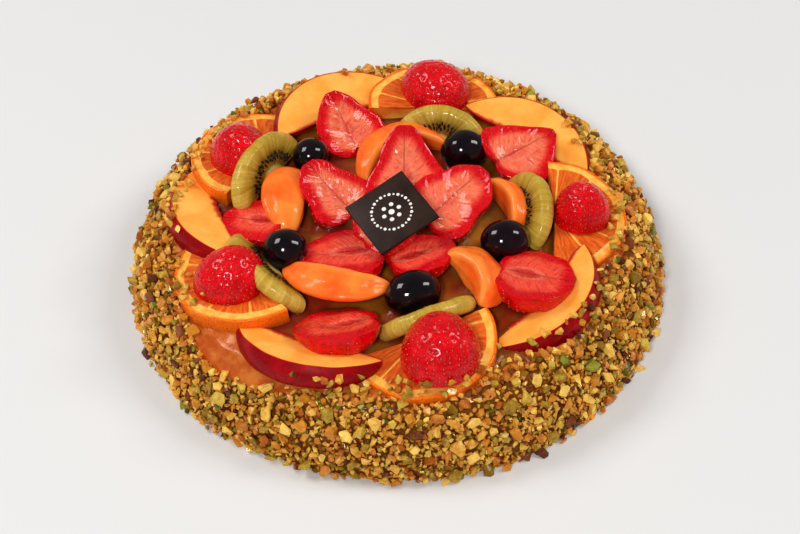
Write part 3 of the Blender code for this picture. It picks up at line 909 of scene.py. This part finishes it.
def chocolate_finish():
    material, tree, shader = finish("dark_chocolate", coat=0.0)
    colour = mottled(tree, 60.0, rgb(48, 34, 30), rgb(62, 45, 39))
    tree.links.new(colour, shader.inputs["Base Color"])
    scuff = cloud(tree, own_space(tree), 900.0, 4.0, 0.7)
    tree.links.new(stepped(tree, scuff, 0.3, 0.7, 0.34, 0.5), shader.inputs["Roughness"])
    bumped(tree, shader, scuff, 0.15, 0.2)
    return material


def icing_print_finish():
    material, tree, shader = finish("white_cocoa_print", coat=0.0)
    colour = mottled(tree, 500.0, rgb(246, 243, 238), rgb(226, 220, 212))
    tree.links.new(colour, shader.inputs["Base Color"])
    shader.inputs["Roughness"].default_value = 0.5
    return material


def cake_finish():
    """Cream and sponge under glaze: amber between the fruit with painted shade close to it, tan on the bare
    side.
    """
    material, tree, shader = finish("glazed_cream", coat=0.35, under=0.05)
    pool = mottled(tree, 45.0, rgb(150, 100, 28), rgb(188, 124, 42))
    juice = cloud(tree, own_space(tree), 32.0, 3.0)
    top = mixed(tree, stepped(tree, juice, 0.42, 0.62), pool, rgb(156, 58, 32))
    # Painted shade: the pooled glaze turns dark brown close to the fruit.
    top = mixed(tree, stepped(tree, mask_of(tree, "shaded"), 0.1, 0.9, 0.0, 0.75), top, rgb(86, 26, 14))
    side = mottled(tree, 120.0, rgb(190, 88, 34), rgb(214, 128, 60))
    colour = mixed(tree, mask_of(tree, "side"), top, side)
    glazed(tree, shader, colour, gloss=(0.12, 0.3), swell=1.4, ripple=0.5, strength=0.5)
    return material


def nut_finish(name, light, deep, skin):
    """Chopped nut: each bit has its own shade, and some carry a strip of skin."""
    material, tree, shader = finish(name, coat=0.5)
    grain = cloud(tree, own_space(tree), 420.0, 4.0, 0.7)
    shade = plus(tree, times(tree, mask_of(tree, "shade"), 0.55), grain)
    colour = mixed(tree, stepped(tree, shade, 0.38, 1.05), light, deep)
    patch = plus(tree, mask_of(tree, "skin"), times(tree, grain, 0.35))
    colour = mixed(tree, stepped(tree, patch, 0.85, 1.05), colour, skin)
    tree.links.new(colour, shader.inputs["Base Color"])
    tree.links.new(stepped(tree, grain, 0.3, 0.7, 0.4, 0.62), shader.inputs["Roughness"])
    bumped(tree, shader, grain, 0.35, 0.3)
    return material


def crumb_and_painted_shade_finish():
    """What shows between the nuts: glazed crumb, its dark brown partly the crumb's own colour and partly
    painted shade from lying deep between them.
    """
    material, tree, shader = finish("glazed_crumb_and_painted_shade", coat=0.3)
    # Painted shade: the crumb's browns are darkened to stand for the shade deep between the nuts.
    colour = mottled(tree, 300.0, rgb(108, 60, 14), rgb(140, 86, 26))
    glazed(tree, shader, colour, gloss=(0.4, 0.7), ripple=1.0, strength=0.8)
    return material


# ---------------------------------------------------------------- pieces


def make_fruit():
    """Lays every piece of fruit, and returns them."""
    orange = orange_finish()
    peach = [peach_flesh_finish(), peach_skin_finish()]
    kiwi = [kiwi_finish(), pip_finish("kiwi_seed", rgb(22, 14, 10), rgb(48, 30, 18))]
    apricot = apricot_finish()
    dark_grape = grape_finish()
    skin = berry_skin_finish()
    pips = pip_finish("strawberry_seed", rgb(206, 50, 38), rgb(240, 124, 80))
    pale_flesh = berry_flesh_finish(
        "strawberry_flesh_pale", rgb(242, 26, 34), rgb(255, 136, 100), rgb(236, 34, 40), 0.4
    )
    red_flesh = berry_flesh_finish(
        "strawberry_flesh_red", rgb(232, 8, 26), rgb(255, 96, 72), rgb(214, 6, 28), 0.8
    )
    laid = []
    for kind, places, shape_of, finishes, slot in (
        ("orange_slice", [(place,) for place in ORANGE_PLACES], orange_slice, [orange], "orange_slices"),
        ("peach_slice", PEACH_PLACES, crescent_slice, peach, "peach_slices"),
        ("kiwi_slice", KIWI_PLACES, kiwi_slice, kiwi, "kiwi_slices"),
        ("apricot_slice", APRICOT_PLACES, apricot_slice, [apricot], "apricot_slices"),
        ("grape", GRAPE_PLACES, grape, [dark_grape], "dark_grapes"),
        ("strawberry", STRAWBERRY_PLACES, standing_berry, [skin, pips], "strawberry_skin"),
    ):
        for number, (place, *sizes) in enumerate(places, 1):
            name = f"{kind}_{number}"
            laid.append(lay(f"glazed_{name}", shape_of(*sizes, number), finishes, place, name))
    for number, (place, length, width, red_core) in enumerate(HALF_PLACES, 1):
        name = f"strawberry_half_{number}"
        flesh = red_flesh if red_core else pale_flesh
        shape = half_berry(length, width, HALF_OUTLINES.get(number, (ROUND_SIDE, ROUND_SIDE)), number)
        laid.append(lay(f"glazed_{name}", shape, [flesh, skin, pips], place, name))
    return laid


def make_tag():
    """The square of chocolate, printed with two plain rings of dots round one in the middle."""
    soft = TAG_SOFTNESS
    profile = [(soft, 0.0), (0.0, soft), (0.0, TAG_DEPTH - soft), (soft * 0.4, TAG_DEPTH - soft * 0.2)]
    profile.append((soft, TAG_DEPTH))
    rings = []
    for inset, height in profile:
        side = TAG_SIDE / 2 - inset
        rings.append([(x * side, y * side, height) for x, y in SQUARE])
    shape = tube(np.array(rings))
    for i, angle in enumerate(whole_turn(OUTER_RING_DOTS)):
        add_dot(shape, OUTER_RING_RADIUS, angle, 0.55 + 0.25 * (i % 2))
    for angle in whole_turn(INNER_RING_DOTS):
        add_dot(shape, INNER_RING_RADIUS, angle, 1.1)
    add_dot(shape, 0.0, 0.0, 1.5)
    finishes = [chocolate_finish(), icing_print_finish()]
    return lay("tag_with_print", shape, finishes, TAG_PLACE, "chocolate_tag", sharp=25.0)


def add_dot(shape, reach, angle, radius):
    """Prints a dot on the tag, at its reach from the middle."""
    x = reach * math.cos(angle)
    y = reach * math.sin(angle)
    rings = []
    for share, height in ((1.0, TAG_DEPTH - 0.1), (1.0, TAG_DEPTH + 0.06), (0.9, TAG_DEPTH + 0.08)):
        edge = radius * share
        rings.append([(x + edge * math.cos(a), y + edge * math.sin(a), height) for a in whole_turn(20)])
    shape.add(tube(np.array(rings)), slot=1)


def tree_of(pieces):
    """The faces of the laid pieces as one tree, for finding what is near."""
    points = []
    faces = []
    for piece in pieces:
        first = len(points)
        points += [piece.matrix_world @ vertex.co for vertex in piece.data.vertices]
        faces += [[first + i for i in face.vertices] for face in piece.data.polygons]
    return BVHTree.FromPolygons(points, faces)


def make_cake(fruit_tree):
    """The cake's side and top, and the glaze that pools between the fruit and climbs against it."""
    columns = 260
    angles = whole_turn(columns)
    profile = [(side_radius(h) - COAT_DEPTH, h, 1.0) for h in np.linspace(0.0, 30.0, 12)]
    profile += [(SHOULDER_RADIUS + 0.6, 31.8, 1.0), (SHOULDER_RADIUS - 0.6, CREAM_RIM - 0.2, 0.9)]
    first_on_top = len(profile)
    for reach in np.linspace(SHOULDER_RADIUS - 2.0, 1.0, 84):
        profile.append((reach, cream_height(reach), smooth_step(98, 106, reach)))
    reach, height, side = (np.array(column, float) for column in zip(*profile))
    wave = plan_wave(angles)
    rings = np.empty((len(profile), columns, 3))
    spread = reach[:, None] + wave * np.minimum(1.0, reach / SHOULDER_RADIUS)[:, None]
    rings[..., 0] = spread * np.cos(angles)
    rings[..., 1] = spread * np.sin(angles)
    rings[..., 2] = height[:, None]
    # The shaded mask is painted shade, strongest right next to the fruit.
    shaded = np.zeros(rings.shape[:2])
    for i in range(first_on_top, len(profile)):
        for j in range(columns):
            found = fruit_tree.find_nearest(Vector(rings[i, j]) * MM + Vector((0, 0, 0.002)))
            gap = found[3] / MM
            rings[i, j, 2] += 1.2 + 2.6 * math.exp(-gap / 2.4) - 1.0 * side[i]
            shaded[i, j] = math.exp(-gap / 3.0)
    masks = {"side": side[:, None] * np.ones(shaded.shape), "shaded": shaded}
    return lay("cake_and_glaze", tube(rings, masks=masks), [cake_finish()], None, "cake")


NEIGHBOURS = [(x, y, z) for x in (-1, 0, 1) for y in (-1, 0, 1) for z in (-1, 0, 1)]
NUT_KINDS = {
    # name: share of the bits, light, deep and skin colours
    "golden_nuts": (0.48, rgb(255, 214, 112), rgb(206, 132, 36), rgb(128, 60, 30)),
    "tan_nuts": (0.18, rgb(238, 166, 78), rgb(172, 92, 30), rgb(104, 44, 28)),
    "olive_nuts": (0.26, rgb(224, 188, 84), rgb(140, 104, 26), rgb(84, 48, 30)),
    "green_nuts": (0.02, rgb(172, 166, 64), rgb(98, 98, 26), rgb(70, 56, 28)),
    "skinned_nuts": (0.06, rgb(150, 88, 48), rgb(92, 44, 28), rgb(66, 30, 38)),
}


def nut_shapes(random, count=20):
    """Chopped bits: hulls of a few points in a flattened ball, about 1 mm in radius."""
    shapes = []
    for _ in range(count):
        bm = bmesh.new()
        stretch = np.array([1.0, random.uniform(0.62, 0.9), random.uniform(0.42, 0.75)])
        for _ in range(13):
            way = random.normal(size=3)
            way /= np.linalg.norm(way)
            bm.verts.new(way * stretch * random.uniform(0.78, 1.0))
        bmesh.ops.convex_hull(bm, input=bm.verts)
        loose = [vertex for vertex in bm.verts if not vertex.link_faces]
        bmesh.ops.delete(bm, geom=loose, context="VERTS")
        bmesh.ops.recalc_face_normals(bm, faces=bm.faces)
        bm.verts.index_update()
        points = np.array([tuple(vertex.co) for vertex in bm.verts])
        faces = np.array([[vertex.index for vertex in face.verts] for face in bm.faces])
        shapes.append((points, faces))
        bm.free()
    return shapes


def coat_faces():
    """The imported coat's outer faces, in mm: corners, way out and area."""
    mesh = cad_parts["nut_coat"].data
    mesh.calc_loop_triangles()
    corners = []
    for triangle in mesh.loop_triangles:
        corners.append([tuple(mesh.vertices[i].co / MM) for i in triangle.vertices])
    corners = np.array(corners)
    across = np.cross(corners[:, 1] - corners[:, 0], corners[:, 2] - corners[:, 0])
    area = np.linalg.norm(across, axis=1) / 2
    normal = across / np.maximum(2 * area, 1e-9)[:, None]
    middle = corners.mean(1)
    outward = (normal[:, :2] * middle[:, :2]).sum(1) / np.linalg.norm(middle[:, :2], axis=1)
    shown = ((outward > 0.15) | (normal[:, 2] > 0.5)) & (normal[:, 2] > -0.5) & (area > 1e-6)
    return corners[shown], normal[shown], area[shown]


def crowded(at, across, others, gap):
    """Whether a bit would lie nearer to another than gap times their mean size."""
    return any(((at - other) ** 2).sum() < (gap * (across + size) / 2) ** 2 for other, _, size in others)


def scattered(random, tries, gap, sizes, inset):
    """Places for nut bits, no two nearer than gap times their mean size: place, way out and size.

    Each lies in by a share of its size, drawn from the span inset.
    """
    corners, normals, areas = coat_faces()
    picks = random.choice(len(areas), size=tries, p=areas / areas.sum())
    spread = random.uniform(size=(tries, 2))
    spread[spread.sum(1) > 1] = 1 - spread[spread.sum(1) > 1]
    size = random.uniform(*sizes, size=tries)
    cells = {}
    kept = []
    cell = sizes[1] * gap
    for pick, (u, v), across in zip(picks, spread, size):
        a, b, c = corners[pick]
        at = a + u * (b - a) + v * (c - a)
        key = tuple(np.floor(at / cell).astype(int))
        around = [(key[0] + x, key[1] + y, key[2] + z) for x, y, z in NEIGHBOURS]
        if crowded(at, across, [kept[i] for nearby in around for i in cells.get(nearby, ())], gap):
            continue
        cells.setdefault(key, []).append(len(kept))
        kept.append((at, normals[pick], across))
    return [(at - normal * random.uniform(*inset) * across, normal, across) for at, normal, across in kept]


def rim_spots(random, fruit_tree):
    """Nuts that lap onto the cream right up to the fruit, but for the bare stretch."""
    spots = []
    for _ in range(RIM_TRIES):
        angle = random.uniform(0, math.tau)
        reach = random.uniform(98.0, 114.0) + plan_wave(angle)
        across = random.uniform(*RIM_NUT_SIZES)
        if bare_patch(angle) > random.uniform(0.1, 0.5):
            continue
        height = cream_height(reach) + random.uniform(0.3, 5.6) * smooth_step(97, 107, reach)
        at = np.array([reach * math.cos(angle), reach * math.sin(angle), height])
        place, way, _, away = fruit_tree.find_nearest(Vector(at) * MM)
        inside = (Vector(at) * MM - place).dot(way) < 0
        if inside or away < 0.25 * across * MM:
            landing = fruit_tree.ray_cast(Vector((at[0] * MM, at[1] * MM, 0.09)), Vector((0, 0, -1)))[0]
            if landing is None or landing.z > 0.046 or random.uniform() > 0.35 * smooth_step(102, 110, reach):
                continue
            at[2] = landing.z / MM + 0.2 * across
        if crowded(at, across, spots, RIM_NUT_GAP):
            continue
        spots.append((at, np.array([0.3 * math.cos(angle), 0.3 * math.sin(angle), 1.0]), across))
    return spots


def stray_spots(random, fruit_tree):
    """Single bits that rest on the fruit near the rim."""
    near = [(-50, -112, 52, 4.6), (-47, -111, 49, 3.8), (60, -82, 54, 6.6), (69, -80, 53, 3.6)]
    near += [(-92, -60, 48, 4), (4, -113, 46, 5.0), (14, -114, 47, 6.0), (26, -113, 47, 5.4)]
    near += [(34, -110, 46, 4.2), (47, -103, 46, 5), (107, -26, 48, 6.0), (112, -14, 46, 4.0)]
    near += [(53, -87, 49, 4.4), (80, -76, 48, 4.2), (96, 50, 52, 4.4), (-104, -34, 46, 4.6)]
    near += [(-112, 22, 48, 4.2), (-88, 66, 48, 5.0), (40, 108, 48, 5.4), (2, 109, 46, 4.6)]
    spots = []
    for x, y, z, across in near:
        place, way, _, _ = fruit_tree.find_nearest(Vector((x, y, z)) * MM)
        at = place / MM + way * (0.2 * across)
        spots.append((np.array(at), np.array(way), across))
    return spots


def make_nuts(fruit_tree):
    """The chopped nuts as one piece of each kind, over a thinner core."""
    random = np.random.default_rng(RANDOM_SEED)
    shapes = nut_shapes(random)
    spots = scattered(random, **SMALL_NUTS)
    spots += scattered(random, **LARGE_NUTS)
    spots += rim_spots(random, fruit_tree)
    spots += stray_spots(random, fruit_tree)
    shares = np.array([kind[0] for kind in NUT_KINDS.values()])
    kinds = random.choice(len(shares), size=len(spots), p=shares / shares.sum())
    gathered = {name: ([], [], [], []) for name in NUT_KINDS}
    counts = dict.fromkeys(NUT_KINDS, 0)
    for (at, normal, across), kind in zip(spots, kinds):
        name = list(NUT_KINDS)[kind]
        points, faces = shapes[random.integers(len(shapes))]
        lean = Vector(normal) + Vector(random.normal(size=3)) * 0.55
        turn = lean.to_track_quat("Z", "X") @ Euler((0, 0, random.uniform(0, math.tau))).to_quaternion()
        turned = points @ np.array(turn.to_matrix()).T * (across / 2) + at
        turned[:, 2] = np.maximum(turned[:, 2], 0.0)
        skinned = points[:, 2] * random.choice([-1, 1]) * random.choice([0.0, 1.0, 1.5])
        gathered[name][0].append(turned)
        gathered[name][1].append(faces + counts[name])
        gathered[name][2].append(np.full(len(points), random.uniform(0, 0.9)))
        gathered[name][3].append(np.clip(skinned, 0, 1))
        counts[name] += len(points)
    for name, (_, light, deep, skin) in NUT_KINDS.items():
        points, faces, shade, skinned = (np.concatenate(part) for part in gathered[name])
        masks = {"shade": shade, "skin": skinned}
        shape = Shape(points, faces.tolist(), [0] * len(faces), masks)
        piece = lay(name, shape, [nut_finish(name, light, deep, skin)], None, sharp=20.0)
        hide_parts("nut_coat")


def make_core():
    """The glazed crumb under the nuts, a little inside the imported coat."""
    columns = 300
    angles = whole_turn(columns)
    bare = bare_patch(angles)
    rows = []
    for share in np.linspace(0.0, 1.0, 30):
        height = share * (CORE_TOP - CORE_DROP * bare)
        rows.append((side_radius(height) - CORE_INSET - 1.4 * share, height))
    inner = [(109.5 * (1 - bare) + bare * (side_radius(27.0) - 4.6), 34.9 - 9.0 * bare)]
    inner += [(side_radius(h) - COAT_DEPTH - 0.8, h * (1 - 0.1 * bare)) for h in (28.0, 14.0, 0.0)]
    rings = []
    for reach, height in rows + inner:
        spread = reach + plan_wave(angles)
        level = height * np.ones(columns)
        rings.append(np.stack([spread * np.cos(angles), spread * np.sin(angles), level], -1))
    rings = np.array(rings)
    lumps = rough(rings, 2.4, 3.0)
    rings[:, :, :2] += (lumps * 0.8)[..., None] * np.stack([np.cos(angles), np.sin(angles)], -1)
    rings[1 : len(rows), :, 2] += lumps[1 : len(rows)] * 0.4
    faces = []
    total = len(rings)
    for i in range(total):
        for j in range(columns):
            k = (j + 1) % columns
            n = (i + 1) % total
            faces.append((i * columns + j, i * columns + k, n * columns + k, n * columns + j))
    shape = Shape(rings.reshape(-1, 3), faces, [0] * len(faces))
    piece = lay("nut_crumb_core", shape, [crumb_and_painted_shade_finish()], None)
    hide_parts("nut_coat")


# ---------------------------------------------------------------- studio


def make_floor():
    material, tree, shader = finish("pale_floor", coat=0.0)
    shade = cloud(tree, own_space(tree), 2.0, 1.0)
    tree.links.new(mixed(tree, shade, rgb(225, 224, 223), rgb(227, 226, 225)), shader.inputs["Base Color"])
    shader.inputs["Roughness"].default_value = 0.7
    mesh = bpy.data.meshes.new("floor")
    mesh.from_pydata([(FLOOR_REACH * x, FLOOR_REACH * y, 0) for x, y in SQUARE], [], [(0, 1, 2, 3)])
    mesh.materials.append(material)
    floor = bpy.data.objects.new("floor", mesh)
    bpy.context.scene.collection.objects.link(floor)
    floor.location.z = -FLOOR_DROP


def make_lights():
    """Soft lights high on the left and right, a smaller one in front, and an even room."""
    for name, way, size, power in (
        ("left_softbox", Vector((-0.6, 0.2, 0.77)), (0.8, 0.8), 15.5),
        ("right_softbox", Vector((0.66, 0.14, 0.73)), (0.5, 1.0), 14.0),
        ("front_softbox", Vector((-0.16, -0.66, 0.73)), (0.4, 0.4), 17.0),
    ):
        lamp = bpy.data.lights.new(name, "AREA")
        lamp.shape = "RECTANGLE"
        lamp.size, lamp.size_y = size
        lamp.energy = power
        obj = bpy.data.objects.new(name, lamp)
        obj.location = way.normalized() * LIGHT_DISTANCE
        obj.rotation_euler = way.to_track_quat("Z", "Y").to_euler()
        bpy.context.scene.collection.objects.link(obj)
    world = bpy.data.worlds.new("studio")
    world.use_nodes = True
    background = world.node_tree.nodes["Background"]
    background.inputs["Color"].default_value = (1.0, 0.985, 0.965, 1.0)
    background.inputs["Strength"].default_value = ROOM_LIGHT
    bpy.context.scene.world = world


def make_camera():
    """Looks down on the tart's front from a metre away."""
    camera = bpy.data.cameras.new("camera")
    camera.sensor_width = 36.0
    camera.lens = CAMERA_LENS
    camera.clip_start = 0.05
    camera.clip_end = 20.0
    obj = bpy.data.objects.new("camera", camera)
    aim = Vector((0.0017, 0.0037, 0.0))
    back = Vector((0.0, -math.cos(CAMERA_ELEVATION), math.sin(CAMERA_ELEVATION)))
    obj.location = aim + back * CAMERA_DISTANCE
    obj.rotation_euler = back.to_track_quat("Z", "Y").to_euler()
    bpy.context.scene.collection.objects.link(obj)
    bpy.context.scene.camera = obj


def main():
    fruit = make_fruit()
    fruit_tree = tree_of(fruit)
    make_tag()
    make_cake(fruit_tree)
    make_core()
    make_nuts(fruit_tree)
    make_floor()
    make_lights()
    make_camera()
    bpy.context.scene.view_settings.view_transform = "Standard"
    bpy.context.scene.view_settings.look = "Medium High Contrast"


main()
